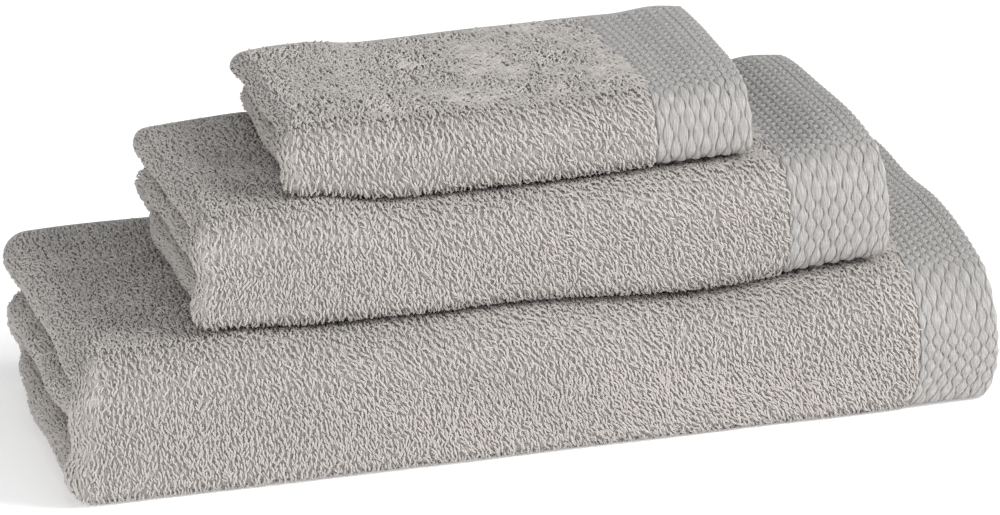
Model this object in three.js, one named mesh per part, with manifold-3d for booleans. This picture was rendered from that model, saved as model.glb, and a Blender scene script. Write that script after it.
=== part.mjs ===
// Bath towel set: a bath towel, a hand towel and a guest towel, folded and stacked.
// Millimetres. +X runs along each towel's folded length, with the woven borders at its +X end.
// -Y is the front, where each towel shows one smooth fold. +Z is up, and the stack rests on Z = 0.

import * as THREE from 'three';
import Module from 'manifold-3d';

const wasm = await Module();
wasm.setup();

// Each towel is folded along its length into a pack of `layers` cloth layers, and the pack is
// then folded across its width into `panels` panels, one on top of the other.
const BATH = {
  name: 'bath_towel',
  length: 350,
  depth: 214,
  height: 57,
  panels: 3,
  layers: 4,
  frontTop: 22,
  frontBottom: 13,
  back: 17,
  borderWidth: 30,
  innerEnd: 1,
  at: [0, 0],
  turn: 0,
};
const HAND = {
  name: 'hand_towel',
  length: 258,
  depth: 170,
  height: 41,
  panels: 3,
  layers: 3,
  frontTop: 17,
  frontBottom: 10,
  back: 12.5,
  borderWidth: 37,
  innerEnd: -1,
  at: [6, -4],
  turn: 0.5,
};
const GUEST = {
  name: 'guest_towel',
  length: 176,
  depth: 148,
  height: 28.5,
  panels: 2,
  layers: 3,
  frontTop: 12,
  frontBottom: 9,
  back: 4,
  borderWidth: 36,
  innerEnd: -1,
  at: [4, -2],
  turn: -0.4,
};

const GAP = 0.3; // between pieces that touch
const SLIT = 0.6; // between folded panels
const BORDER_THICKNESS = 2.6; // woven border band
const HEM_THICKNESS = 3; // the same cloth turned in and sewn
const END_HEM_WIDTH = 7; // turned hem across each end
const SIDE_HEM_WIDTH = 5; // turned hem along each side
const END_SETBACK = 3; // terry folds stop this far inside the hemmed end
const ARC_STEPS = 6;

const COTTON = new THREE.Color(0.5, 0.475, 0.45);
const BORDER_COTTON = new THREE.Color(0.52, 0.5, 0.475);
const HEM_COTTON = new THREE.Color(0.47, 0.45, 0.425);

/** A material of one woven zone. */
function cloth(name, colour, roughness) {
  const material = new THREE.MeshStandardMaterial({ color: colour, roughness, metalness: 0 });
  material.name = name;
  return material;
}

const TERRY = cloth('terry', COTTON, 0.95);
const BORDER = cloth('border', BORDER_COTTON, 0.85);
const HEM = cloth('hem', HEM_COTTON, 0.88);

/** A closed solid between two corners. */
function block(low, high) {
  const size = high.map((value, axis) => value - low[axis]);
  return wasm.Manifold.cube(size, false).translate(low);
}

/** Points along a quarter turn, from one angle to the next, in degrees. */
function corner(centreY, centreZ, radius, startAngle) {
  const points = [];
  for (let step = 0; step <= ARC_STEPS; step += 1) {
    const angle = ((startAngle + (90 * step) / ARC_STEPS) * Math.PI) / 180;
    points.push([centreY + radius * Math.cos(angle), centreZ + radius * Math.sin(angle)]);
  }
  return points;
}

/** The folded pack's end outline, drawn in by `inset`, from one X to another. */
function outlineSolid(towel, inset, fromX, toX) {
  const back = towel.depth / 2 - inset;
  const front = -towel.depth / 2 + inset;
  const low = inset;
  const high = towel.height - inset;
  const frontTop = Math.max(towel.frontTop - inset, 1);
  const frontBottom = Math.max(towel.frontBottom - inset, 1);
  const lowBack = Math.max(towel.back - inset, 1);
  const topBack = 2;
  const section = [
    ...corner(back - topBack, high - topBack, topBack, 0),
    ...corner(front + frontTop, high - frontTop, frontTop, 90),
    ...corner(front + frontBottom, low + frontBottom, frontBottom, 180),
    ...corner(back - lowBack, low + lowBack, lowBack, 270),
  ];
  // The outline is drawn as (Y, Z) and turned so that it runs along X.
  return wasm.Manifold.extrude([section], toX - fromX)
    .rotate([90, 0, 90])
    .translate([fromX, 0, 0]);
}

/** A solid with one rounded lobe for each panel at its -X end, up to its +X end. */
function lobes(towel, setBack) {
  const panel = towel.height / towel.panels;
  const radius = panel / 2;
  const reach = towel.depth / 2 + 5;
  const left = -towel.length / 2 + setBack;
  let solid = block([left + radius, -reach, 0], [towel.length / 2, reach, towel.height]);
  for (let index = 0; index < towel.panels; index += 1) {
    const lobe = wasm.Manifold.cylinder(2 * reach, radius, radius, 4 * ARC_STEPS)
      .rotate([90, 0, 0])
      .translate([left + radius, reach, panel * (index + 0.5)]);
    solid = solid.add(lobe);
  }
  return solid;
}

/** The space that the towel's free side edges take, widened by `grow` on every side but the outside. */
function sideHemBoxes(towel, grow) {
  const panel = towel.height / towel.panels;
  const back = towel.depth / 2;
  const half = towel.length / 2;
  const topLow = towel.height - panel + SLIT / 2;
  const edge = back - SIDE_HEM_WIDTH - grow;
  const top = block([-half - 5, edge, topLow - grow], [half + 5, back + 5, towel.height + 5]);
  if (towel.panels === 2) {
    const bottom = block([-half - 5, edge, -5], [half + 5, back + 5, panel - SLIT / 2 + grow]);
    return { top, inner: bottom };
  }
  const inside = -towel.depth / 2 + panel + SLIT / 2;
  const inner = block(
    [-half - 5, inside - grow, panel + SLIT / 2 - grow],
    [half + 5, inside + SIDE_HEM_WIDTH + grow, 2 * panel - SLIT / 2 + grow],
  );
  return { top, inner };
}

/** The slit between the folded panels, as one solid, `width` wide and from one X to another. */
function slit(towel, width, fromX, toX) {
  const panel = towel.height / towel.panels;
  const half = width / 2;
  const back = towel.depth / 2;
  const inside = -back + panel;
  const upper = towel.height - panel;
  let solid = block([fromX, inside - half, upper - half], [toX, back + 5, upper + half]);
  if (towel.panels === 3) {
    const down = block([fromX, inside - half, panel - half], [toX, inside + half, upper + half]);
    const lower = block([fromX, inside - half, panel - half], [toX, back - panel, panel + half]);
    solid = solid.add(down).add(lower);
  }
  return solid;
}

/** A band of cloth that wraps the outside of the pack, between two depths and two X values. */
function wrap(towel, outerInset, innerInset, fromX, toX) {
  const outer = outlineSolid(towel, outerInset, fromX, toX);
  const hollow = outlineSolid(towel, innerInset, fromX - 1, toX + 1);
  const panel = towel.height / towel.panels;
  const back = towel.depth / 2;
  const upper = towel.height - panel;
  let band = outer.subtract(hollow);
  // The cloth's free side edges are at the back, so the band is open there.
  const edge = back - SIDE_HEM_WIDTH - GAP;
  const low = towel.panels === 2 ? -1 : upper - SLIT / 2;
  band = band.subtract(block([fromX - 1, edge, low], [toX + 1, back + 1, towel.height + 1]));
  return band;
}

/** All the solids of one folded towel, in the towel's own place. */
function towelSolids(towel) {
  const half = towel.length / 2;
  const panel = towel.height / towel.panels;
  const borderStart = half - towel.borderWidth;
  const hemStart = half - END_HEM_WIDTH;
  const second = HEM_THICKNESS + GAP; // depth of the next layer in
  const grown = sideHemBoxes(towel, GAP);
  const plain = sideHemBoxes(towel, 0);
  const body = outlineSolid(towel, 0, -half, half - END_SETBACK).intersect(lobes(towel, 0));
  const envelope = outlineSolid(towel, 0, -half, half).intersect(lobes(towel, 2));
  const solids = {};

  solids.outer_border = wrap(towel, 0, BORDER_THICKNESS, borderStart, hemStart - GAP);
  solids.outer_end_hem = wrap(towel, 0, HEM_THICKNESS, hemStart, half);

  let terry = body
    .subtract(slit(towel, SLIT, -half - 1, half + 1))
    .subtract(wrap(towel, -1, second, borderStart - GAP, half + 1));

  if (towel.innerEnd > 0) {
    // Folded in quarters: the cloth's second end lies right under the first.
    const borderIn = second + BORDER_THICKNESS;
    const hemIn = second + HEM_THICKNESS;
    solids.inner_border = wrap(towel, second, borderIn, borderStart, hemStart - GAP);
    solids.inner_end_hem = wrap(towel, second, hemIn, hemStart, half - 1);
    terry = terry.subtract(wrap(towel, -1, hemIn + GAP, borderStart - GAP, half + 1));
  } else {
    // Folded in thirds: the cloth's second end lies between the panels at the -X end.
    const left = -half + panel / 2 + 2;
    const width = towel.borderWidth;
    const keepIn = block(
      [-half, -half, 0],
      [half, towel.depth / 2 - SIDE_HEM_WIDTH - GAP, towel.height],
    );
    const hemEnd = left + END_HEM_WIDTH;
    solids.inner_end_hem = slit(towel, HEM_THICKNESS, left, hemEnd).intersect(keepIn);
    solids.inner_border = slit(towel, BORDER_THICKNESS, hemEnd + GAP, left + width).intersect(keepIn);
    terry = terry.subtract(
      slit(towel, HEM_THICKNESS + 2 * GAP, left - GAP, left + width + GAP),
    );
  }

  terry = terry.subtract(grown.top).subtract(grown.inner);
  solids.top_side_hem = envelope.intersect(plain.top);
  solids.inner_side_hem = envelope.intersect(plain.inner);
  if (towel.panels === 3) {
    const stop = half - END_SETBACK - 2;
    const inside = block([-half, -half, 0], [stop, half, towel.height]);
    solids.inner_side_hem = solids.inner_side_hem.intersect(inside);
  }
  if (towel.innerEnd < 0) {
    const slot = slit(
      towel,
      HEM_THICKNESS + 2 * GAP,
      -half - 1,
      -half + panel / 2 + 2 + towel.borderWidth + GAP,
    );
    solids.inner_side_hem = solids.inner_side_hem.subtract(slot);
    solids.top_side_hem = solids.top_side_hem.subtract(slot);
  }
  return { terry_field: terry, ...solids };
}

/** A mesh of one closed solid, with flat faces. */
function meshOf(name, solid, material) {
  const source = solid.getMesh();
  const positions = [];
  for (const index of source.triVerts) {
    const at = index * source.numProp;
    positions.push(...source.vertProperties.slice(at, at + 3));
  }
  const geometry = new THREE.BufferGeometry();
  geometry.setAttribute('position', new THREE.Float32BufferAttribute(positions, 3));
  geometry.computeVertexNormals();
  const mesh = new THREE.Mesh(geometry, material);
  mesh.name = name;
  return mesh;
}

const MATERIALS = {
  terry_field: TERRY,
  outer_border: BORDER,
  inner_border: BORDER,
  outer_end_hem: HEM,
  inner_end_hem: HEM,
  top_side_hem: HEM,
  inner_side_hem: HEM,
};

const group = new THREE.Group();
group.name = 'bath_towel_set';

let rest = 0;
for (const towel of [BATH, HAND, GUEST]) {
  for (const [part, solid] of Object.entries(towelSolids(towel))) {
    const placed = solid
      .rotate([0, 0, towel.turn])
      .translate([towel.at[0], towel.at[1], rest]);
    group.add(meshOf(`${towel.name}_${part}`, placed, MATERIALS[part]));
  }
  rest += towel.height + GAP;
}

export default group;
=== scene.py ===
"""A bath towel set: a bath towel, a hand towel and a guest towel, folded and stacked.

Each towel is one long cloth that is folded along its length into a pack, and the pack is
then folded across its width. Every point of the cloth has two flat coordinates, in metres:
`along`, from the end whose border shows to the other end, and `across`, from the side edge
that lies at the top of the stack's back to the other side edge. The folded shape is worked
out from those two alone, so the terry field, the woven borders, the hems and every cotton
loop of the pile lie on one and the same folded cloth.

The row frame is in metres: +X towards the woven borders, -Y the front, +Z up.
"""

import logging
import math
from dataclasses import dataclass, field, replace
from enum import Enum
from typing import Callable, Optional, Sequence, Union

import bpy
import numpy as np
from mathutils import Matrix, Vector


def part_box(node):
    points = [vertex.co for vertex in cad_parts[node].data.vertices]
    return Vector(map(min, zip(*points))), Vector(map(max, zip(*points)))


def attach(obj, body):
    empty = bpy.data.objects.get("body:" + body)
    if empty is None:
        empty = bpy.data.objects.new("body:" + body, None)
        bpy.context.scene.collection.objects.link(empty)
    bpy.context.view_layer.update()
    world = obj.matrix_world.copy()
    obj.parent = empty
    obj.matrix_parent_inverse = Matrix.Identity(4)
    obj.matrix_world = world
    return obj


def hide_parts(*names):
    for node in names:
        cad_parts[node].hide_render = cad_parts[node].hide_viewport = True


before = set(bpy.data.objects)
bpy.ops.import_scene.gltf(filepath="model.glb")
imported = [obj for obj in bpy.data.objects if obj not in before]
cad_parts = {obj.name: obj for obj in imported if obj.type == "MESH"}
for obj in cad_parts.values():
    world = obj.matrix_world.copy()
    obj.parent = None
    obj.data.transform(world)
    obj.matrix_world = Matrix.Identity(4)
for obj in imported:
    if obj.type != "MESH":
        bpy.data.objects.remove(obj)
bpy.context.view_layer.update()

LOG = logging.getLogger("towels")
MM = 0.001

Array = np.ndarray
Colour = tuple[float, float, float]


# --------------------------------------------------------------------------------------
# Numbers and curves
# --------------------------------------------------------------------------------------


def ease(value: Array) -> Array:
    """Smoothstep: 0 below 0, 1 above 1, and 3t^2 - 2t^3 between."""
    t = np.clip(value, 0.0, 1.0)
    return t * t * (3.0 - 2.0 * t)


def ramp(value: Array, start: float, full: float) -> Array:
    """How far a value has come from a start to where it counts in full, with soft ends.

    Args:
        value: The values.
        start: Where the answer leaves 0.
        full: Where it reaches 1.

    Returns:
        Values from 0 to 1.
    """
    return ease((value - start) / (full - start))


def ripple(a: Array, b: Array, wavelength: float, seed: int, terms: int = 9) -> Array:
    """Smooth, wandering values between about -1 and 1 over a plane.

    The value is the sum of a few cosines. Each runs in a direction of its own, with a
    wavelength near the one asked for and a phase of its own, all drawn from the seed.

    Args:
        a: First coordinate, in metres.
        b: Second coordinate, in metres.
        wavelength: The usual distance from one crest to the next, in metres.
        seed: Fixes the directions, wavelengths and phases.
        terms: How many cosines are added.

    Returns:
        The values, in the shape of the coordinates.
    """
    rng = np.random.default_rng(seed)
    total = np.zeros(np.broadcast(a, b).shape)
    for _ in range(terms):
        turn = rng.uniform(0.0, 2.0 * math.pi)
        waves = 2.0 * math.pi / (wavelength * rng.uniform(0.7, 1.5))
        phase = rng.uniform(0.0, 2.0 * math.pi)
        total = total + np.cos(waves * (a * math.cos(turn) + b * math.sin(turn)) + phase)
    return total / math.sqrt(2.0 * terms)


def arc(centre: Sequence[float], radius: float, start: float, sweep: float) -> Array:
    """Points round part of a circle, one every few degrees.

    Args:
        centre: The circle's centre on its plane.
        radius: The circle's radius.
        start: The first point's angle in degrees.
        sweep: How far to go round, positive anticlockwise.

    Returns:
        An (n, 2) array.
    """
    count = max(4, int(abs(sweep) / 3.0) + 1)
    angle = np.radians(start + sweep * np.linspace(0.0, 1.0, count))
    return np.stack(
        [centre[0] + radius * np.cos(angle), centre[1] + radius * np.sin(angle)], axis=-1
    )


@dataclass(frozen=True)
class Track:
    """A line through points of any dimension, read by the distance along it."""

    distance: Array
    points: Array

    @classmethod
    def through(cls, points: Array, measured: Optional[Array] = None) -> "Track":
        """The track through some points.

        Args:
            points: An (n, k) array.
            measured: The (n, 2) line that distance is measured on; the points by default.

        Returns:
            The track.
        """
        line = points if measured is None else measured
        steps = np.linalg.norm(np.diff(line, axis=0), axis=1)
        return cls(np.concatenate([[0.0], np.cumsum(steps)]), points)

    @property
    def length(self) -> float:
        """The distance from the first point to the last."""
        return float(self.distance[-1])

    def at(self, distance: Array) -> Array:
        """The points at some distances, by straight lines between the track's points."""
        columns = [np.interp(distance, self.distance, column) for column in self.points.T]
        return np.stack(columns, axis=-1)


def stepped(marks: Sequence[float], steps: Sequence[float]) -> Array:
    """Values from the first mark to the last, with a step of its own between each pair.

    Args:
        marks: Rising values; each is hit exactly.
        steps: The largest step between each mark and the next.

    Returns:
        The values.
    """
    runs = [
        np.linspace(low, high, max(2, math.ceil((high - low) / step) + 1))[:-1]
        for low, high, step in zip(marks[:-1], marks[1:], steps)
    ]
    return np.concatenate(runs + [np.array([marks[-1]])])


# --------------------------------------------------------------------------------------
# Meshes
# --------------------------------------------------------------------------------------


def make_piece(
    name: str,
    points: Array,
    quads: Array,
    triangles: Optional[Array] = None,
    flat: Optional[Array] = None,
    values: Optional[dict[str, Array]] = None,
    normals: Optional[Array] = None,
) -> bpy.types.Object:
    """A smooth mesh object at the origin.

    Args:
        name: The piece's name.
        points: (n, 3) vertex positions, in metres.
        quads: (m, 4) vertex numbers.
        triangles: (k, 3) vertex numbers, if there are any.
        flat: (n, 2) the cloth's flat coordinates, stored as its UV map.
        values: Named numbers, one for each vertex, stored as attributes.
        normals: (n, 3) directions that the vertices are shaded by, if not the mesh's own.

    Returns:
        The linked object.
    """
    mesh = bpy.data.meshes.new(name)
    corner_runs = [quads.ravel()]
    starts = [np.arange(len(quads)) * 4]
    if triangles is not None:
        corner_runs.append(triangles.ravel())
        starts.append(len(quads) * 4 + np.arange(len(triangles)) * 3)
    corners = np.concatenate(corner_runs).astype(np.int32)
    mesh.vertices.add(len(points))
    mesh.vertices.foreach_set("co", points.astype(np.float32).ravel())
    mesh.loops.add(len(corners))
    mesh.loops.foreach_set("vertex_index", corners)
    start = np.concatenate(starts).astype(np.int32)
    mesh.polygons.add(len(start))
    mesh.polygons.foreach_set("loop_start", start)
    mesh.polygons.foreach_set("use_smooth", np.ones(len(start), bool))
    if flat is not None:
        layer = mesh.uv_layers.new(name="cloth")
        layer.data.foreach_set("uv", flat[corners].astype(np.float32).ravel())
    for key, numbers in (values or {}).items():
        attribute = mesh.attributes.new(key, "FLOAT", "POINT")
        attribute.data.foreach_set("value", numbers.astype(np.float32).ravel())
    mesh.update(calc_edges=True)
    mesh.validate()
    if normals is not None:
        mesh.normals_split_custom_set_from_vertices(normals.astype(np.float32))
    piece = bpy.data.objects.new(name, mesh)
    bpy.context.scene.collection.objects.link(piece)
    return piece


def grid_faces(rows: int, columns: int, first: int = 0, flip: bool = False) -> Array:
    """The quads of a grid whose vertices are numbered row by row.

    Args:
        rows: How many rows of vertices there are.
        columns: How many vertices a row has.
        first: The first vertex's number.
        flip: Whether the quads face the other way.

    Returns:
        An (n, 4) array of vertex numbers.
    """
    number = first + np.arange(rows * columns).reshape(rows, columns)
    quads = np.stack(
        [number[:-1, :-1], number[1:, :-1], number[1:, 1:], number[:-1, 1:]], axis=-1
    ).reshape(-1, 4)
    return quads[:, ::-1] if flip else quads


def shell_faces(rows: int, columns: int) -> Array:
    """The quads of a closed shell: an outer grid, an inner grid and the walls between.

    The outer grid's vertices come first, row by row, and the inner grid's follow.

    Args:
        rows: How many rows of vertices each grid has.
        columns: How many vertices a row has.

    Returns:
        An (n, 4) array of vertex numbers.
    """
    outer = np.arange(rows * columns).reshape(rows, columns)
    inner = outer + rows * columns
    rim = np.concatenate([outer[0, :], outer[1:, -1], outer[-1, -2::-1], outer[-2:0:-1, 0]])
    rim_in = np.concatenate([inner[0, :], inner[1:, -1], inner[-1, -2::-1], inner[-2:0:-1, 0]])
    walls = np.stack([rim, np.roll(rim, -1), np.roll(rim_in, -1), rim_in], axis=-1)
    return np.concatenate(
        [
            grid_faces(rows, columns),
            grid_faces(rows, columns, rows * columns, flip=True),
            walls,
        ]
    )


# --------------------------------------------------------------------------------------
# Shader maths
# --------------------------------------------------------------------------------------

Value = Union["Wire", float, int]


class Wire:
    """A socket of a material's node tree that can be used in Python sums."""

    def __init__(self, tree: bpy.types.NodeTree, socket: bpy.types.NodeSocket) -> None:
        """Wraps an output socket.

        Args:
            tree: The node tree that the socket is in.
            socket: The output socket.
        """
        self.tree = tree
        self.socket = socket

    def _sum(self, operation: str, first: Value, second: Value = 0.0) -> "Wire":
        """Adds one Math node.

        Args:
            operation: What the node works out.
            first: Its first input.
            second: Its second input, if it has one.

        Returns:
            The node's output.
        """
        node = self.tree.nodes.new("ShaderNodeMath")
        node.operation = operation
        for slot, value in zip(node.inputs, (first, second)):
            if isinstance(value, Wire):
                self.tree.links.new(value.socket, slot)
            else:
                slot.default_value = float(value)
        return Wire(self.tree, node.outputs[0])

    def __add__(self, other: Value) -> "Wire":
        """self + other."""
        return self._sum("ADD", self, other)

    __radd__ = __add__

    def __sub__(self, other: Value) -> "Wire":
        """self - other."""
        return self._sum("SUBTRACT", self, other)

    def __rsub__(self, other: Value) -> "Wire":
        """other - self."""
        return self._sum("SUBTRACT", other, self)

    def __mul__(self, other: Value) -> "Wire":
        """self * other."""
        return self._sum("MULTIPLY", self, other)

    __rmul__ = __mul__

    def __truediv__(self, other: Value) -> "Wire":
        """self / other."""
        return self._sum("DIVIDE", self, other)

    def __rtruediv__(self, other: Value) -> "Wire":
        """other / self."""
        return self._sum("DIVIDE", other, self)

    def __pow__(self, other: Value) -> "Wire":
        """self to the power of other."""
        return self._sum("POWER", self, other)

    def sine(self) -> "Wire":
        """The sine of this value, in radians."""
        return self._sum("SINE", self)

    def between(self, low: float, high: float) -> "Wire":
        """How far this value has come from low to high, from 0 to 1, with soft ends.

        Args:
            low: The value that gives 0.
            high: The value that gives 1.

        Returns:
            The share.
        """
        node = self.tree.nodes.new("ShaderNodeMapRange")
        node.interpolation_type = "SMOOTHSTEP"
        node.inputs["From Min"].default_value = low
        node.inputs["From Max"].default_value = high
        self.tree.links.new(self.socket, node.inputs["Value"])
        return Wire(self.tree, node.outputs["Result"])


class Finish:
    """A material under construction: one Principled shader and what feeds it."""

    def __init__(self, name: str) -> None:
        """Starts an empty material with a Principled shader on its output.

        Args:
            name: The finish's name.
        """
        self.material = bpy.data.materials.new(name)
        self.material.use_nodes = True
        self.tree = self.material.node_tree
        self.tree.nodes.clear()
        output = self.tree.nodes.new("ShaderNodeOutputMaterial")
        self.shader = self.tree.nodes.new("ShaderNodeBsdfPrincipled")
        self.tree.links.new(self.shader.outputs["BSDF"], output.inputs["Surface"])

    def feed(self, slot: bpy.types.NodeSocket, value: object) -> None:
        """Links a wire to a socket, or sets the socket's own value."""
        if isinstance(value, Wire):
            self.tree.links.new(value.socket, slot)
        elif isinstance(value, tuple) and slot.type == "RGBA":
            slot.default_value = (*value, 1.0)
        else:
            slot.default_value = value

    def node(
        self,
        kind: str,
        settings: Optional[dict[str, object]] = None,
        sockets: Optional[dict[Union[str, int], object]] = None,
        output: Union[str, int] = 0,
    ) -> Wire:
        """Adds any node.

        Args:
            kind: The node's type.
            settings: Its own settings, which are set first.
            sockets: A value or a wire for each socket, by name or number.
            output: Which output to return.

        Returns:
            The output as a wire.
        """
        node = self.tree.nodes.new(kind)
        for key, setting in (settings or {}).items():
            setattr(node, key, setting)
        for key, value in (sockets or {}).items():
            self.feed(node.inputs[key], value)
        return Wire(self.tree, node.outputs[output])

    def mix(self, share: Value, first: object, second: object, blend: str = "MIX") -> Wire:
        """Mixes two colours.

        Args:
            share: How much of the second colour there is, from 0 to 1.
            first: A wire or a colour.
            second: A wire or a colour.
            blend: How the two are blended.

        Returns:
            The mixed colour.
        """
        return self.node(
            "ShaderNodeMix",
            {"data_type": "RGBA", "blend_type": blend},
            {0: share, 6: first, 7: second},
            output=2,
        )

    def places(self) -> Wire:
        """The piece's own coordinates, in metres."""
        return self.node("ShaderNodeTexCoord", output="Object")

    def cloth(self) -> tuple[Wire, Wire]:
        """The cloth's two flat coordinates, in metres, from the piece's UV map."""
        flat = self.node("ShaderNodeUVMap", {"uv_map": "cloth"})
        parts = self.tree.nodes.new("ShaderNodeSeparateXYZ")
        self.tree.links.new(flat.socket, parts.inputs[0])
        return Wire(self.tree, parts.outputs[0]), Wire(self.tree, parts.outputs[1])

    def noise(self, where: Wire, size: float, detail: float = 2.0) -> Wire:
        """Cloudy values from 0 to 1.

        Args:
            where: The coordinates they are read at.
            size: About how wide their patches are, in metres.
            detail: How many finer layers are added.

        Returns:
            The values.
        """
        sockets = {"Vector": where, "Scale": 1.0 / size, "Detail": detail, "Roughness": 0.55}
        return self.node("ShaderNodeTexNoise", None, sockets, output=0)

    def streaks(self, along: Wire, across: Wire, size: tuple[float, float]) -> Wire:
        """Noise stretched over the cloth.

        Args:
            along: The cloth's coordinate along its length.
            across: The cloth's coordinate across its width.
            size: How wide and how long a streak is, in metres along and across.

        Returns:
            Values from 0 to 1.
        """
        lanes = self.node(
            "ShaderNodeCombineXYZ",
            None,
            {"X": along * (1.0 / size[0]), "Y": across * (1.0 / size[1])},
        )
        return self.node(
            "ShaderNodeTexNoise", None, {"Vector": lanes, "Scale": 1.0, "Detail": 2.0}
        )

    def ribs(self, where: Wire, pitch: float) -> Wire:
        """A sine wave from 0 to 1 along a coordinate, one crest to each pitch."""
        return (where * (2.0 * math.pi / pitch)).sine() * 0.5 + 0.5

    def stored(self, name: str) -> Wire:
        """A number stored on the mesh's vertices."""
        return self.node("ShaderNodeAttribute", {"attribute_name": name}, output="Fac")

    def bump(self, height: Wire, distance: float, strength: float = 1.0) -> None:
        """Feeds a height, from 0 to 1, to the shader's normal.

        Args:
            height: The height.
            distance: How far apart heights 0 and 1 are, in metres.
            strength: The bump's share.
        """
        normal = self.node(
            "ShaderNodeBump",
            None,
            {"Height": height, "Distance": distance, "Strength": strength},
        )
        self.feed(self.shader.inputs["Normal"], normal)

    def finish(self, **sockets: object) -> bpy.types.Material:
        """Sets the shader's sockets, by name with _ for a space, and returns the material."""
        for key, value in sockets.items():
            self.feed(self.shader.inputs[key.replace("_", " ")], value)
        return self.material


@dataclass(frozen=True)
class Cotton:
    """The dyed cotton that all three towels are woven from, and its five finishes.

    Attributes:
        light: The bends of the loops.
        middle: The ground, and the loops that are duller.
        deep: Painted shade at the roots of the loops.
        woven: The borders, the hems and the thread.
        groove: Painted shade between yarns and in grooves; also the hem's and thread's darker tone.
        sheen: Weight of the fluff's sheen.
        streak: Width and length of the ground's streaks, in metres along and across.
        yarn: Width and length of the borders' yarns.
        pick: Distance between the borders' cross threads.
    """

    light: Colour = (0.47, 0.443, 0.424)
    middle: Colour = (0.44, 0.414, 0.396)
    deep: Colour = (0.40, 0.376, 0.36)
    woven: Colour = (0.385, 0.375, 0.369)
    groove: Colour = (0.105, 0.102, 0.1)
    sheen: float = 0.25
    streak: tuple[float, float] = (0.8 * MM, 3.2 * MM)
    yarn: tuple[float, float] = (0.5 * MM, 2.4 * MM)
    pick: float = 1.1 * MM

    def ground(self) -> bpy.types.Material:
        """The terry's ground, seen between the loops: short pile laid in streaks.

        The streaks are noise stretched across the cloth.
        """
        made = Finish("terry_ground")
        where = made.places()
        along, across = made.cloth()
        streaks = made.streaks(along, across, self.streak)
        patches = made.noise(where, 22 * MM, 3.0)
        laid = streaks.between(0.38, 0.62)
        made.bump(laid, 1.0 * MM, 1.0)
        shade = made.mix(laid, self.middle, self.light)
        colour = made.mix(patches * 0.3, shade, self.deep)
        return made.finish(
            Base_Color=colour,
            Roughness=0.92 - 0.06 * patches,
            Sheen_Weight=self.sheen,
            Sheen_Roughness=0.5,
            Specular_IOR_Level=0.2,
        )

    def loops(self) -> bpy.types.Material:
        """The pile's cotton loops: painted shade at the root, light at the bend, each its own tone.
        """
        made = Finish("terry_loops")
        where = made.places()
        rise = made.stored("rise")
        tint = made.stored("tint")
        patches = made.noise(where, 30 * MM, 2.0)
        fibres = made.noise(where, 0.35 * MM, 2.0)
        # Painted shade: each loop darkens from its bend down to its root, where the pile shades it.
        body = made.mix(rise.between(0.0, 0.75), self.deep, self.light)
        shade = made.mix(tint * 0.55 + patches * 0.2, body, self.middle)
        made.bump(fibres, 0.22 * MM, 0.6)
        return made.finish(
            Base_Color=shade,
            Roughness=0.88 + 0.08 * fibres,
            Sheen_Weight=self.sheen,
            Sheen_Roughness=0.4,
            Specular_IOR_Level=0.25,
        )

    def honeycomb(self) -> bpy.types.Material:
        """The flat-woven honeycomb border: light raised yarns round grooves of painted shade.

        The yarns are noise stretched across the cloth, with painted shade between them. The
        painted shade in the grooves follows the mesh's relief, more in some places than others.
        """
        made = Finish("honeycomb_border")
        where = made.places()
        along, across = made.cloth()
        relief = made.stored("relief")
        patches = made.noise(where, 16 * MM, 2.0)
        groove_shade_depth = made.noise(where, 5 * MM, 2.0)
        fibres = made.noise(where, 0.4 * MM, 3.0)
        yarns = made.streaks(along, across, self.yarn).between(0.36, 0.62)
        picks = made.ribs(across, self.pick)
        made.bump(yarns * 0.55 + picks * 0.1 + fibres * 0.35, 0.4 * MM, 1.0)
        # Painted shade: the grooves darken, more in some places than in others, and so do the gaps
        # between the yarns.
        painted_groove_shade = (1.0 - relief.between(0.02, 0.5)) * (0.5 + 0.9 * groove_shade_depth)
        yarn_gap_shade = (1.0 - yarns) * 0.3
        lit = made.mix(patches * 0.08 + yarn_gap_shade, self.woven, self.groove)
        return made.finish(
            Base_Color=made.mix(painted_groove_shade, lit, self.groove),
            Roughness=0.8 + 0.1 * fibres,
            Sheen_Weight=self.sheen,
            Sheen_Roughness=0.4,
            Specular_IOR_Level=0.3,
        )

    def hem(self) -> bpy.types.Material:
        """The plain-woven side hem: fine ribs across the edge."""
        made = Finish("plain_hem")
        where = made.places()
        along, across = made.cloth()
        ribs = made.ribs(along, 0.7 * MM)
        picks = made.ribs(across, 0.6 * MM)
        fibres = made.noise(where, 0.3 * MM, 2.0)
        patches = made.noise(where, 12 * MM, 2.0)
        made.bump(ribs * 0.5 + picks * 0.25 + fibres * 0.25, 0.25 * MM, 0.8)
        colour = made.mix(ribs * 0.4 + patches * 0.3, self.woven, self.groove)
        return made.finish(
            Base_Color=colour,
            Roughness=0.85 + 0.08 * fibres,
            Sheen_Weight=self.sheen,
            Sheen_Roughness=0.4,
            Specular_IOR_Level=0.25,
        )

    def thread(self) -> bpy.types.Material:
        """Two-ply sewing thread in the cloth's colour, a little glossier than it."""
        made = Finish("sewing_thread")
        where = made.places()
        ply = made.noise(where, 0.25 * MM, 1.0)
        made.bump(ply, 0.1 * MM, 0.5)
        colour = made.mix(ply * 0.5, self.woven, self.groove)
        return made.finish(
            Base_Color=colour, Roughness=0.6 + 0.1 * ply, Specular_IOR_Level=0.35
        )


# --------------------------------------------------------------------------------------
# The folded towel
# --------------------------------------------------------------------------------------


class LengthFold(Enum):
    """How a towel is folded along its length, before it is folded across."""

    QUARTERS = 4
    THIRDS = 3


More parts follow.
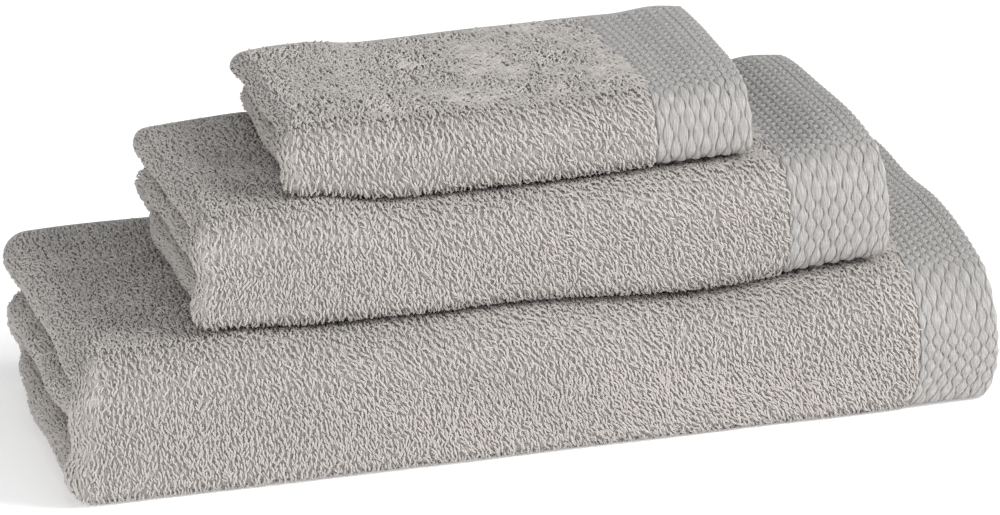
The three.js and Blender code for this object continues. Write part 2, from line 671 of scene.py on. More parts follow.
@dataclass(frozen=True)
class Slump:
    """How far a soft pack strays from its box, in metres unless said.

    Attributes:
        wave: Height of the slow waves on the top and the front.
        lobes: How far each panel's rounded end sticks out past the box at its front,
            lowest first.
        lobes_back: The same at its back.
        wander: How much each rounded end wanders in and out over the depth.
        swell: Share of its height that the pack gains at its rounded end and at its
            bordered end, where nothing presses on it.
        droop: How far the top's corners sink.
        square: How far the front layer pulls the rounded end out into a square corner.
        crown: How far the top falls towards the front at the rounded end, in the middle
            and at the bordered end.
        crown_reach: How far back from the front that fall begins.
        dip: How far the top sinks further at one place, where that is along the pack, and
            how far it reaches to either side.
        flare: How far the bordered end sticks out at its front and at its back.
        tuck: How far the bordered end draws in at the foot of its front.
        skew: How far the border's inner edge runs askew towards the back.
        foot: How far the front spreads at its foot.
        seed: Fixes the waves.
    """

    wave: float
    lobes: tuple[float, ...]
    lobes_back: tuple[float, ...]
    wander: float
    swell: tuple[float, float]
    droop: float
    square: float
    crown: tuple[float, float, float]
    crown_reach: float
    dip: tuple[float, float, float]
    flare: tuple[float, float]
    tuck: float
    skew: float
    foot: float
    seed: int


@dataclass
class Towel:
    """One folded towel.

    Attributes:
        name: The CAD body, which every piece rides on.
        flat: The unfolded towel's length and width; not used.
        fold: How it is folded along its length.
        panels: How many panels it makes across its width.
        turn: How far it is turned on the stack, in degrees.
        front_top: Radius of the fold between front and top, at the rounded end and at
            the bordered end.
        front_bottom: The same for the fold between front and underside.
        back: Radius of the lower fold at the back.
        border: Width of the end's honeycomb border, with its hem.
        slump: How it strays from its box.
        bed: The towel that it lies on, if it doesn't lie on the floor.
        loop_size: Size of the pile's loops against the usual one.
        hem_width: Width of the turned end hems.
        side_hem_width: Width of the turned side hems.
        end_setback: How far the fold inside the bordered end stays behind it.
        ground: Thickness of the terry's ground.
        border_thickness: Thickness of the honeycomb border.
        hem_thickness: Thickness of the end hems.
        side_hem_thickness: Thickness of the side hems.
        cell: Width and length of a honeycomb cell, along and across the cloth.
        swing: How far the grooves swing to either side.
        relief: Depth of the honeycomb.
        scallop: How far the cells make the open end wave.
        bridge: How much of a hollow in the towel beneath the underside sinks into.
        clear: What the underside keeps above what it lies on.
        FRONT_REACH: How far back from the front its waves and its spread foot reach.
        END_REACH: How far in from the rounded end its lobes begin.
        END_FULL: How far in from that end they are full.
        TUCK_REACH: How far in from the border the tuck begins.
        WAVES_ON_TOP: Wavelength of the slow waves there, as for the next two.
        ZONES: The towel's CAD nodes, by their names after its own.
    """

    name: str
    flat: tuple[float, float]
    fold: LengthFold
    panels: int
    turn: float
    front_top: tuple[float, float]
    front_bottom: tuple[float, float]
    back: float
    border: float
    slump: Slump
    bed: Optional["Towel"] = None
    loop_size: float = 1.0

    hem_width: float = 7 * MM
    side_hem_width: float = 5 * MM
    end_setback: float = 3 * MM
    ground: float = 1.9 * MM
    border_thickness: float = 2.3 * MM
    hem_thickness: float = 2.4 * MM
    side_hem_thickness: float = 2.6 * MM
    cell: tuple[float, float] = (2.9 * MM, 6.5 * MM)
    swing: float = 0.62 * MM
    relief: float = 0.95 * MM
    scallop: float = 0.9 * MM
    bridge: float = 0.8
    clear: float = 0.2 * MM

    length: float = field(init=False)
    depth: float = field(init=False)
    height: float = field(init=False)
    middle: tuple[float, float] = field(init=False)
    floor: float = field(init=False)
    long_way: Track = field(init=False)
    cross_ways: tuple[Track, Track] = field(init=False)
    width: float = field(init=False)
    marks: dict[str, float] = field(init=False)

    FRONT_REACH = 26 * MM
    END_REACH = 34 * MM
    END_FULL = 4 * MM
    TUCK_REACH = 25 * MM
    WAVES_ON_TOP = 85 * MM
    WAVES_ON_FRONT = 70 * MM
    WAVES_ON_END = 60 * MM
    ZONES = (
        "terry_field",
        "outer_border",
        "outer_end_hem",
        "inner_border",
        "inner_end_hem",
        "top_side_hem",
        "inner_side_hem",
    )

    def __post_init__(self) -> None:
        """Reads the pack's box from its CAD nodes and lays out the two ways of folding."""
        boxes = [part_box(f"{self.name}_{zone}") for zone in self.ZONES]
        low = np.min([box[0] for box in boxes], axis=0)
        high = np.max([box[1] for box in boxes], axis=0)
        wide, deep = high[0] - low[0], high[1] - low[1]
        # A box turned by a small angle t is L cos t + D sin t wide and L sin t + D cos t deep.
        cosine, sine = math.cos(math.radians(self.turn)), abs(math.sin(math.radians(self.turn)))
        spread = cosine * cosine - sine * sine
        self.length = float((cosine * wide - sine * deep) / spread)
        self.depth = float((cosine * deep - sine * wide) / spread)
        self.height = float(high[2] - low[2])
        self.middle = (float(low[0] + high[0]) / 2, float(low[1] + high[1]) / 2)
        self.floor = float(low[2])
        self.long_way = self._fold_length()
        self.cross_ways = (self._fold_across(0), self._fold_across(1))
        self.width = (self.cross_ways[0].length + self.cross_ways[1].length) / 2

    @property
    def panel(self) -> float:
        """The thickness of the pack before it is folded across."""
        return self.height / self.panels

    @property
    def layer(self) -> float:
        """The thickness of one layer of cloth with its pile."""
        return self.panel / self.fold.value

    def _fold_length(self) -> Track:
        """The cloth's way along the pack, as X and height in the pack.

        It runs in along the outer layer to the rounded end, goes round that end as a half
        circle, comes back along the innermost face, and goes on to and fro between the
        layers that are left, with a half circle at each turn.
        """
        t = self.layer
        half = self.length / 2
        right = half - self.end_setback - t
        short = 1 * MM
        if self.fold is LengthFold.QUARTERS:
            left = -half + 2.0 * t
            runs = [
                np.array([[half, 3.5 * t]]),
                arc((left, 2.0 * t), 1.5 * t, 90, 180),
                arc((right, t), 0.5 * t, -90, 180),
                arc((left, 2.0 * t), 0.5 * t, 270, -180),
                np.array([[half - short, 2.5 * t]]),
            ]
        else:
            left = -half + 1.5 * t
            runs = [
                np.array([[half, 2.5 * t]]),
                arc((left, 1.5 * t), t, 90, 180),
                arc((right, t), 0.5 * t, -90, 180),
                np.array([[left + 2 * short, 1.5 * t]]),
            ]
        way = Track.through(np.concatenate(runs))
        sizes = np.cumsum([len(run) for run in runs])
        self.marks = {
            "rounded_from": float(way.distance[sizes[0]]),
            "rounded_to": float(way.distance[sizes[1] - 1]),
            "return_from": float(way.distance[sizes[1]]),
            "return_to": float(way.distance[sizes[2] - 1]),
        }
        return way

    def _fold_across(self, end: int) -> Track:
        """The pack's way across the stack, as Y and Z of its outer and of its inner face.

        Both faces go through the same folds, each with its own radii: the top, the front
        fold, the underside and, on a pack of three panels, the back fold and the inner
        panel. Distance is measured half way between the two faces.

        Args:
            end: 0 for the radii of the rounded end, 1 for those of the bordered end.

        Returns:
            The track.
        """
        back, front = self.depth / 2, -self.depth / 2
        top, p = self.height, self.panel
        tight, gap, inside = 1.5 * MM, 0.4 * MM, 2.5 * MM
        rise, base = self.front_top[end], self.front_bottom[end]
        inner_top, inner_low = top - p + gap, p - gap
        outer_runs = [
            np.array([[back, top]]),
            arc((front + rise, top - rise), rise, 90, 90),
            arc((front + base, base), base, 180, 90),
        ]
        wall = front + p + tight
        inner_runs = [
            np.array([[back, inner_top]]),
            arc((wall, inner_top - tight), tight, 90, 90),
            arc((wall, inner_low + tight), tight, 180, 90),
        ]
        if self.panels == 3:
            r = min(self.back, p)
            outer_runs += [
                arc((back - r, r), r, 270, 90),
                arc((back - r, 2 * p - gap - r), r, 0, 90),
                np.array([[front + p + inside, 2 * p - gap]]),
            ]
            turn = back - p
            inner_runs += [
                arc((turn, p), gap, 270, 90),
                arc((turn, p), gap, 0, 90),
                np.array([[front + p + inside, p + gap]]),
            ]
        else:
            outer_runs.append(np.array([[back, 0.0]]))
            inner_runs.append(np.array([[back, inner_low]]))
        outer, inner = np.concatenate(outer_runs), np.concatenate(inner_runs)
        way = Track.through(np.hstack([outer, inner]), (outer + inner) / 2)
        ends = np.cumsum([len(run) for run in outer_runs])
        self.marks["top_to"] = float(way.distance[ends[0]])
        self.marks["front_to"] = float(way.distance[ends[2] - 1])
        if self.panels == 3:
            self.marks["under_to"] = float(way.distance[ends[2]])
            self.marks["back_to"] = float(way.distance[ends[4] - 1])
        else:
            self.marks["under_to"] = way.length
            self.marks["back_to"] = way.length
        return way

    def _top_shift(self, x: Array, y: Array) -> Array:
        """How far the top lies above its box's top, at places in the pack.

        The top swells where nothing presses on it, carries slow waves, sinks at its
        corners, falls towards the front along a parabola, and dips further round one place.

        Args:
            x: Places along the pack, from its middle.
            y: Places across it, from its middle.

        Returns:
            The shifts, in metres.
        """
        s = self.slump
        half, deep = self.length / 2, self.depth / 2
        leftward = ramp(-x / self.length, 0.22, 0.34)
        rightward = ramp(x / self.length, 0.36, 0.46)
        swell = self.height * (s.swell[0] * leftward + s.swell[1] * rightward)
        corner = (np.abs(x) / half) ** 6 * (np.abs(y) / deep) ** 6
        inward = y + deep
        fall = np.clip(1.0 - inward / s.crown_reach, 0.0, 1.2) ** 2
        left, middle, right = s.crown
        crown = middle + (left - middle) * leftward + (right - middle) * rightward
        sunk, where, reach = s.dip
        dip = sunk * np.exp(-(((x - where) / reach) ** 2))
        dip = dip * np.clip(1.0 - inward / (1.5 * s.crown_reach), 0.0, 1.1) ** 2
        waves = 0.7 * s.wave * ripple(x, y, self.WAVES_ON_TOP, s.seed)
        return swell + waves - s.droop * corner - crown * fall - dip

    def _slump(self, x: Array, y: Array, z: Array) -> tuple[Array, Array, Array]:
        """Lets a pack's points stray from its box, as a soft pile of cloth does.

        The top shifts and what is under it shifts in proportion to its height. The front
        carries slow waves and spreads at its foot. Each panel's rounded end sticks out by
        its own amount, and the front layer pulls that end square. The bordered end flares,
        tucks in at the foot of its front, and its border runs a little askew.

        Args:
            x: Places along the box, from its middle.
            y: Places across it, from its middle.
            z: Heights above its underside.

        Returns:
            The same points once they have strayed, as their x, y and z.
        """
        s = self.slump
        half, deep, top = self.length / 2, self.depth / 2, self.height
        upward = np.clip(z / top, 0.0, 1.0)
        back_share = np.clip((y + deep) / (2 * deep), 0.0, 1.0)
        front_near = ramp(-y, deep - self.FRONT_REACH, deep)
        new_z = np.maximum(z + upward * self._top_shift(x, y), 0.0)
        belly = np.sin(np.pi * upward)
        waves = s.wave * (ripple(x, z * 1.5, self.WAVES_ON_FRONT, s.seed + 1) + 0.8 * belly)
        new_y = y - front_near * (waves + s.foot * (1.0 - upward) ** 3)
        ends = ramp(-x, half - self.END_REACH, half - self.END_FULL)
        levels = (np.arange(self.panels) + 0.5) * self.panel
        at_front, at_back = np.interp(z, levels, s.lobes), np.interp(z, levels, s.lobes_back)
        stick = at_front + (at_back - at_front) * back_share**4 + s.square * front_near
        wander = s.wander * ripple(y, z * 3.0, self.WAVES_ON_END, s.seed + 2)
        new_x = x - ends * (stick + wander)
        flare = s.flare[0] + (s.flare[1] - s.flare[0]) * back_share
        new_x = new_x + flare * np.clip(0.5 + x / self.length, 0.0, 1.0) ** 2
        near_end = ramp(x, half - self.border - self.TUCK_REACH, half - self.border)
        new_x = new_x - s.tuck * near_end * front_near * (1.0 - upward) ** 5
        off_edge = (x - half + self.border) / (0.7 * self.border)
        new_x = new_x - s.skew * back_share * np.exp(-(off_edge**2))
        return new_x, new_y, new_z

    def _bed_shift(self, x: Array, y: Array) -> Array:
        """How far the underside follows the towel beneath, at places in the row frame.

        It rises as far as that towel's top does, and sinks into its hollows by a share.

        Args:
            x: Places along the row frame's X.
            y: Places along its Y.

        Returns:
            The shifts, in metres, all 0 for a towel on the floor.
        """
        if self.bed is None:
            return np.zeros(np.shape(x))
        under = self.bed
        angle = math.radians(under.turn)
        east, north = x - under.middle[0], y - under.middle[1]
        shift = under._top_shift(
            east * math.cos(angle) + north * math.sin(angle),
            north * math.cos(angle) - east * math.sin(angle),
        )
        return np.maximum(shift, self.bridge * shift)

    def rested(self, points: Array) -> Array:
        """The same points, with none lower than what the towel lies on.

        Args:
            points: Points in the row frame.

        Returns:
            The points, in the same shape.
        """
        lowest = self.floor + self._bed_shift(points[..., 0], points[..., 1]) + self.clear
        lifted = points.copy()
        lifted[..., 2] = np.maximum(points[..., 2], lowest)
        return lifted

    def place(self, along: Array, across: Array) -> Array:
        """Where points of the flat cloth lie once it is folded and stacked.

        The underside follows the towel beneath, and each point follows it by the share of
        the pack's height that lies above the point.

        Args:
            along: Distance from the outer end, in metres.
            across: Distance from the top side edge, in metres.

        Returns:
            Points in the row frame, on the middle of the cloth's thickness.
        """
        way = self.long_way.at(along)
        at_end = ease(way[..., 0] / self.length + 0.5)[..., None]
        rounded, bordered = (
            track.at(across * (track.length / self.width)) for track in self.cross_ways
        )
        faces = rounded + (bordered - rounded) * at_end
        share = way[..., 1] / self.panel
        y = faces[..., 2] + (faces[..., 0] - faces[..., 2]) * share
        flat_z = faces[..., 3] + (faces[..., 1] - faces[..., 3]) * share
        x, y, z = self._slump(way[..., 0], y, flat_z)
        angle = math.radians(self.turn)
        east = self.middle[0] + x * math.cos(angle) - y * math.sin(angle)
        north = self.middle[1] + x * math.sin(angle) + y * math.cos(angle)
        pressed = 1.0 - np.clip(flat_z / self.height, 0.0, 1.0)
        up = self.floor + z + pressed * self._bed_shift(east, north)
        return np.stack([east, north, up], axis=-1)

    def frames(self, along: Array, across: Array) -> tuple[Array, Array, Array, Array]:
        """Points of the folded cloth with their unit directions.

        The two directions in the cloth are differences of `place` over 0.2 mm, and the
        third is their cross product, which faces out of the towel on its outer layer.

        Args:
            along: Distance from the outer end, in metres.
            across: Distance from the top side edge, in metres.

        Returns:
            The points, the directions along and across the cloth, and the normals.
        """
        step = 0.2 * MM
        point = self.place(along, across)
        forth = self.place(along + step, across) - self.place(along - step, across)
        over = self.place(along, across + step) - self.place(along, across - step)
        forth = forth / np.maximum(np.linalg.norm(forth, axis=-1, keepdims=True), 1e-9)
        over = over / np.maximum(np.linalg.norm(over, axis=-1, keepdims=True), 1e-9)
        normal = np.cross(forth, over)
        normal = normal / np.maximum(np.linalg.norm(normal, axis=-1, keepdims=True), 1e-9)
        return point, forth, over, normal

    def honeycomb(self, along: Array, across: Array) -> Array:
        """The border's relief, from 0 in the grooves to 1 on the middle of a cell.

        Grooves run across the towel, one column's width apart, and swing from side to
        side. Neighbouring grooves swing against each other, so each column is a string of
        almond-shaped cells, half a cell on from those beside it. Over a column the relief
        falls off from the middle as a power of the distance to the groove, and along it
        the cell swells where it is wide.

        Args:
            along: Distances along the cloth.
            across: Distances across it.

        Returns:
            The relief at each point.
        """
        wide, tall = self.cell
        beat = np.cos(across * (2.0 * math.pi / tall))
        nearest = np.full(along.shape, np.inf)
        swell = np.zeros(along.shape)
        column = np.round(along / wide)
        for step in (-1, 0, 1):
            at = column + step
            phase = beat * np.where(at % 2 == 0, 1.0, -1.0)
            half = wide / 2 + self.swing * phase
            offset = np.abs(along - at * wide) / half
            swell = np.where(offset < nearest, phase, swell)
            nearest = np.minimum(nearest, offset)
        across_cell = 1.0 - np.clip(nearest, 0.0, 1.0) ** 3.0
        return across_cell * (0.4 + 0.3 * (1.0 + swell))

    def sheet(
        self,
        part: str,
        along: Array,
        across: Array,
        thickness: float,
        relief: float = 0.0,
        round_ends: float = 0.0,
        round_sides: float = 0.0,
    ) -> bpy.types.Object:
        """A stretch of the folded cloth as a closed shell.

        Each face is the cloth's middle surface moved along its normal by half the thickness
        plus the honeycomb's relief. Within `round_ends` of an open end, or `round_sides` of
        an open side, the thickness falls off as a quarter ellipse, which rounds a turned
        edge. The cells make a rounded open end wave a little.

        Args:
            part: The piece's name after the towel's.
            along: The grid's distances along the cloth.
            across: The grid's distances across the cloth.
            thickness: The cloth's thickness there.
            relief: Height of the honeycomb on both faces.
            round_ends: How far the rounding reaches in from an open end.
            round_sides: How far the rounding reaches in from an open side.

        Returns:
            The piece.
        """
        a, c = np.meshgrid(along, across, indexing="ij")
        point, forth, _, normal = self.frames(a, c)
        blunt, scallop_reach = 0.97, 3 * MM
        half = np.full(a.shape, thickness / 2)
        from_end = np.minimum(a, self.long_way.length - a)
        from_side = np.minimum(c, self.width - c)
        for near, rounding in ((from_end, round_ends), (from_side, round_sides)):
            if rounding:
                reach = np.clip(1.0 - near / rounding, 0.0, blunt)
                half = half * np.sqrt(1.0 - reach**2)
        values = {}
        raised = np.zeros(a.shape)
        if relief:
            raised = self.honeycomb(a, c)
            # The honeycomb finish paints shade into the grooves by this stored relief.
            values["relief"] = np.concatenate([raised.ravel(), raised.ravel()])
        if relief and round_ends:
            edge = np.clip(1.0 - from_end / scallop_reach, 0.0, 1.0)
            outward = np.where(a < self.long_way.length / 2, -1.0, 1.0)
            point = point + forth * (outward * edge * self.scallop * (raised - 0.5))[..., None]
        lift = (half + relief * (raised - 0.5) * (half / (thickness / 2)))[..., None]
        outer = point + normal * lift
        inner = point - normal * lift
        points = np.concatenate([outer.reshape(-1, 3), inner.reshape(-1, 3)])
        points = self.rested(points)
        flat = np.stack([a.ravel(), c.ravel()], axis=-1)
        piece = make_piece(
            f"{self.name}_{part}",
            points,
            shell_faces(*a.shape),
            flat=np.concatenate([flat, flat]),
            values=values,
        )
        LOG.info("%s: %d faces", piece.name, len(piece.data.polygons))
        return piece


@dataclass(frozen=True)
class LoopShape:
    """One cotton loop: a short bent yarn that rises out of the ground and leans over.

    Attributes:
        reach: How far each ring has leaned, in metres.
        rise: How high each ring is.
        radius: The yarn's radius at each ring.
        slope: The yarn's direction at each ring, in degrees above the ground.
        swing: Share of the loop's sideways curl at each ring.
        sides: How many sides the yarn has.
        fluff: Share of the ground's direction in the loop's shading.
    """

    reach: tuple[float, ...]
    rise: tuple[float, ...]
    radius: tuple[float, ...]
    slope: tuple[float, ...]
    swing: tuple[float, ...]
    sides: int = 3
    fluff: float = 0.6

    @property
    def corners(self) -> int:
        """How many vertices a loop has."""
        return len(self.reach) * self.sides

    def build(
        self,
        base: Array,
        lean: Array,
        side: Array,
        normal: Array,
        length: Array,
        height: Array,
        curl: Array,
    ) -> tuple[Array, Array, Array, Array, Array]:
        """Every loop's mesh at once.

        A ring's centre is the base plus reach times the lean and rise times the normal,
        with a sideways curl that grows along the loop. Its vertices go round the yarn's
        direction at equal angles. Each vertex is shaded partly by the yarn's own roundness
        and partly by the ground's direction, because fine fluff spreads the light.

        Args:
            base: (n, 3) where each loop leaves the ground.
            lean: (n, 3) the direction it leans in.
            side: (n, 3) across that direction.
            normal: (n, 3) out of the ground.
            length: (n,) size along the lean.
            height: (n,) size along the normal.
            curl: (n, 2) how far its middle and its end swing sideways.

        Returns:
            Vertex positions, quads, triangles, each vertex's share of the height and the
            directions that the vertices are shaded by.
        """
        count, rings, sides = len(base), len(self.reach), self.sides
        points = np.empty((count, rings, sides, 3))
        shaded = np.empty((count, rings, sides, 3))
        for ring in range(rings):
            last = 1.0 if ring == rings - 1 else 0.0
            bend = curl[:, 0] * self.swing[ring] + curl[:, 1] * last
            centre = (
                base
                + lean * (self.reach[ring] * length)[:, None]
                + normal * (self.rise[ring] * height)[:, None]
                + side * bend[:, None]
            )
            slope = math.radians(self.slope[ring])
            outward = normal * math.cos(slope) - lean * math.sin(slope)
            for corner in range(sides):
                angle = math.pi / 2 + 2 * math.pi * corner / sides
                spoke = outward * math.sin(angle) + side * math.cos(angle)
                radius = self.radius[ring] * length[:, None] ** 0.5
                points[:, ring, corner] = centre + spoke * radius
                shaded[:, ring, corner] = spoke * (1.0 - self.fluff) + normal * self.fluff
        number = np.arange(rings * sides).reshape(rings, sides)
        turned = np.roll(number, -1, axis=1)
        quads = np.stack([number[:-1], turned[:-1], turned[1:], number[1:]], axis=-1)
        quads = quads.reshape(-1, 4)
        caps = np.array([number[0, ::-1], number[-1]])
        first = (np.arange(count) * rings * sides)[:, None, None]
        # Each vertex's share of the height, by which the loop finish paints shade at the root; the
        # tip keeps at least 0.7 of it.
        low, high, least_at_tip = min(self.rise), max(self.rise), 0.7
        share = (np.array(self.rise) - low) / (high - low)
        share[-1] = max(share[-1], least_at_tip)
        rises = np.broadcast_to(np.repeat(share, sides), (count, rings * sides))
        shaded = shaded.reshape(-1, 3)
        return (
            points.reshape(-1, 3),
            (quads[None] + first).reshape(-1, 4),
            (caps[None] + first).reshape(-1, 3),
            rises.ravel(),
            shaded / np.linalg.norm(shaded, axis=1)[:, None],
        )


SHOWN_LOOP = LoopShape(
    reach=(0.0, 0.35 * MM, 1.4 * MM, 2.6 * MM),
    rise=(-0.6 * MM, 0.9 * MM, 1.25 * MM, 0.5 * MM),
    radius=(0.34 * MM, 0.42 * MM, 0.42 * MM, 0.27 * MM),
    slope=(80.0, 55.0, 0.0, -42.0),
    swing=(0.0, 0.3, 1.0, 1.0),
)
END_LOOP = replace(SHOWN_LOOP, fluff=0.88)
HIDDEN_LOOP = LoopShape(
    reach=(0.0, 1.1 * MM, 3.3 * MM),
    rise=(-0.6 * MM, 1.75 * MM, 0.75 * MM),
    radius=(0.4 * MM, 0.55 * MM, 0.32 * MM),
    slope=(75.0, 20.0, -38.0),
    swing=(0.0, 0.7, 1.0),
)


class Zone(Enum):
    """Where pile grows, by its name in a piece."""

    TOP = "top"
    COVERED = "covered"
    FRONT = "front"
    ROUNDED_END = "rounded_end"
    FAR_FOLDS = "far_folds"
    BACK = "back"


@dataclass(frozen=True)
class Crop:
    """How the loops of one zone grow.

    Attributes:
        pitch: Distance between loops along and across the cloth, in metres.
        shape: The loop.
        jitter: How far loops stray along the cloth, as a share of the pitch.
        swirl: How far the slow swirls turn them, in degrees.
        scatter: How far each turns on its own, in degrees.
        clump: How far tips draw together into rows, in metres.
        height: Their height against the usual one.
    """

    pitch: tuple[float, float]
    shape: LoopShape
    jitter: float = 0.8
    swirl: float = 55.0
    scatter: float = 20.0
    clump: float = 0.3 * MM
    height: float = 1.0


CROPS = {
    Zone.TOP: Crop(pitch=(1.4 * MM, 1.65 * MM), shape=SHOWN_LOOP),
    Zone.COVERED: Crop(pitch=(2.3 * MM, 2.5 * MM), shape=HIDDEN_LOOP, height=0.75),
    Zone.FRONT: Crop(
        pitch=(1.1 * MM, 1.65 * MM),
        shape=SHOWN_LOOP,
        jitter=0.7,
        swirl=16.0,
        scatter=13.0,
        clump=0.35 * MM,
    ),
    Zone.ROUNDED_END: Crop(
        pitch=(1.6 * MM, 1.85 * MM),
        shape=END_LOOP,
        jitter=0.7,
        swirl=18.0,
        scatter=11.0,
        height=0.75,
    ),
    Zone.FAR_FOLDS: Crop(pitch=(2.0 * MM, 2.2 * MM), shape=HIDDEN_LOOP),
    Zone.BACK: Crop(pitch=(2.0 * MM, 2.2 * MM), shape=HIDDEN_LOOP),
}


@dataclass
class Pile:
    """The terry's loops over the faces of one towel that can be seen.

    Attributes:
        towel: The towel they are woven into.
        row: Distance between the woven rows that the tips draw into, in metres.
        most: The most loops in one piece.
        off_border: What the pile keeps off the border.
        off_hem: What it keeps off the side hems.
        over_edge: How far the front's pile starts before the top's edge.
        round_foot: How far the pile goes on past the front's foot and past the back fold.
        past_end: How far the rounded end's pile goes into the pack.
        past_far: How far the far folds' pile goes on before and after them.
        low_back: How far under the pack the back's pile starts, on a pack of three panels
            and on one of two.
        root: How deep in the ground the loops are rooted.
        uneven: How far their middles and tips stray sideways.
        steady: How far the loops turn towards the borders at the rounded end, and how
            much further near the borders, in degrees.
    """

    towel: Towel
    row: float = 2.6 * MM
    most: int = 9800
    off_border: float = 1.6 * MM
    off_hem: float = 0.6 * MM
    over_edge: float = 6 * MM
    round_foot: float = 7 * MM
    past_end: float = 14 * MM
    past_far: tuple[float, float] = (8 * MM, 4 * MM)
    low_back: tuple[float, float] = (6 * MM, 22 * MM)
    root: float = 0.1 * MM
    uneven: float = 0.35 * MM
    steady: tuple[float, float] = (4.0, 22.0)

    def _rows(self, zone: Zone, along: tuple[float, float], across: tuple[float, float]) -> Array:
        """Loop positions over a rectangle of cloth, in staggered rows.

        Args:
            zone: The zone, which fixes the pitch.
            along: The rectangle's first and last distance along the cloth.
            across: The same across it.

        Returns:
            An (n, 2) array of distances along and across.
        """
        step_a, step_c = CROPS[zone].pitch
        a, c = np.meshgrid(
            np.arange(along[0], along[1], step_a * self.towel.loop_size),
            np.arange(across[0], across[1], step_c * self.towel.loop_size),
            indexing="ij",
        )
        stagger = (np.arange(a.shape[0]) % 2)[:, None] * step_c / 2
        return np.stack([a.ravel(), (c + stagger).ravel()], axis=-1)

    def _places(self, covered: Optional[Callable[[Array], Array]]) -> dict[Zone, Array]:
        """Loop positions for each zone of the towel.

        Args:
            covered: Tells which points lie under another towel.

        Returns:
            An (n, 2) array of distances along and across for each zone.
        """
        t, m = self.towel, self.towel.marks
        start, end = t.border + self.off_border, m["rounded_from"]
        side = t.side_hem_width + self.off_hem
        last = t.width - side
        turn_top = m["top_to"] - self.over_edge
        foot = m["front_to"] + self.round_foot
        found = {
            Zone.TOP: self._rows(Zone.TOP, (start, end), (side, turn_top)),
            Zone.FRONT: self._rows(Zone.FRONT, (start, end), (turn_top, foot)),
            Zone.ROUNDED_END: self._rows(
                Zone.ROUNDED_END, (end, m["rounded_to"] + self.past_end), (side, last)
            ),
            Zone.FAR_FOLDS: self._rows(
                Zone.FAR_FOLDS,
                (m["return_from"] - self.past_far[0], m["return_to"] + self.past_far[1]),
                (side, last),
            ),
        }
        if covered is not None:
            beneath = self._rows(Zone.COVERED, (start, end), (side, turn_top))
            found[Zone.COVERED] = beneath[covered(t.place(beneath[:, 0], beneath[:, 1]))]
            top = found[Zone.TOP]
            found[Zone.TOP] = top[~covered(t.place(top[:, 0], top[:, 1]))]
        low = m["under_to"] - self.low_back[0 if t.panels == 3 else 1]
        high = m["back_to"] + self.round_foot if t.panels == 3 else last
        found[Zone.BACK] = self._rows(Zone.BACK, (start, end), (low, high))
        return found

    def _turn(self, crop: Crop, along: Array, across: Array) -> Array:
        """How far loops turn from straight across the towel, in radians.

        They turn steadily towards the borders, the more the nearer they are to them, and
        slow and quick swirls turn them from there, less at the rounded end.

        Args:
            crop: How the zone's loops grow.
            along: Their distances along the cloth.
            across: Their distances across it.

        Returns:
            One angle for each loop.
        """
        t, seed = self.towel, self.towel.slump.seed
        inward = np.clip((t.marks["rounded_from"] - along) / t.length, 0.0, 1.0)
        slow = ripple(along, across, 48 * MM, seed + 31)
        quick = ripple(along, across, 13 * MM, seed + 32)
        swirl = math.radians(crop.swirl) * (0.75 * slow + 0.6 * quick)
        swirl = swirl * (0.45 + 0.55 * ease(inward / 0.5))
        least, more = (math.radians(angle) for angle in self.steady)
        return swirl - (least + more * ease(inward / 0.6))

    def _gather(self, turn: Array, along: Array, across: Array) -> Array:
        """Which way tips draw towards their woven row: the sine of their place between rows.

        Args:
            turn: How far each loop is turned, in radians.
            along: Their distances along the cloth.
            across: Their distances across it.

        Returns:
            From -1 to 1 for each loop.
        """
        sideways = along * np.cos(turn) - across * np.sin(turn)
        drift = 1.2 * ripple(along, across, 16 * MM, self.towel.slump.seed + 33)
        return np.sin(2.0 * math.pi * sideways / self.row + drift)

    def weave(self, covered: Optional[Callable[[Array], Array]]) -> list[bpy.types.Object]:
        """Builds every zone's loops, a few thousand to a piece.

        Loops lean across the towel and down its front, turned as `_turn` says, and their
        tips draw sideways as `_gather` says.

        Args:
            covered: Tells which points lie under another towel, where the pile is sparser
                and pressed lower.

        Returns:
            The pieces.
        """
        t = self.towel
        pieces = []
        for index, (zone, places) in enumerate(self._places(covered).items()):
            crop = CROPS[zone]
            rng = np.random.default_rng(t.slump.seed * 100 + index)
            count = len(places)
            spread = np.array(crop.pitch) * (crop.jitter, 0.9)
            along, across = (places + rng.uniform(-0.5, 0.5, (count, 2)) * spread).T
            point, forth, over, normal = t.frames(along, across)
            turn = self._turn(crop, along, across)
            turn = turn + rng.normal(0.0, math.radians(crop.scatter), count)
            lean = over * np.cos(turn)[:, None] + forth * np.sin(turn)[:, None]
            side = np.cross(normal, lean)
            size = t.loop_size * rng.uniform(0.75, 1.25, count)
            tall = t.loop_size * crop.height * rng.uniform(0.65, 1.2, count)
            gather = crop.clump * self._gather(turn, along, across)
            curl = rng.normal(0.0, self.uneven, (count, 2)) + gather[:, None] * (1.0, 0.6)
            base = point + normal * (t.ground / 2 - self.root)
            order = np.argsort(along, kind="stable")
            chunks = np.array_split(order, max(1, math.ceil(count / self.most)))
            for number, chunk in enumerate(chunks, 1):
                points, quads, caps, rise, shaded = crop.shape.build(
                    base[chunk], lean[chunk], side[chunk], normal[chunk],
                    size[chunk], tall[chunk], curl[chunk],
                )
                points = t.rested(points)
                tint = np.repeat(rng.uniform(size=len(chunk)), crop.shape.corners)
                name = f"{t.name}_loops_{zone.value}" + (f"_{number}" if len(chunks) > 1 else "")
                # rise carries the painted shade at each loop's root; tint is each loop's own tone.
                values = {"rise": rise, "tint": tint}
                piece = make_piece(name, points, quads, caps, values=values, normals=shaded)
                LOG.info("%s: %d loops", name, len(chunk))
                pieces.append(piece)
        return pieces


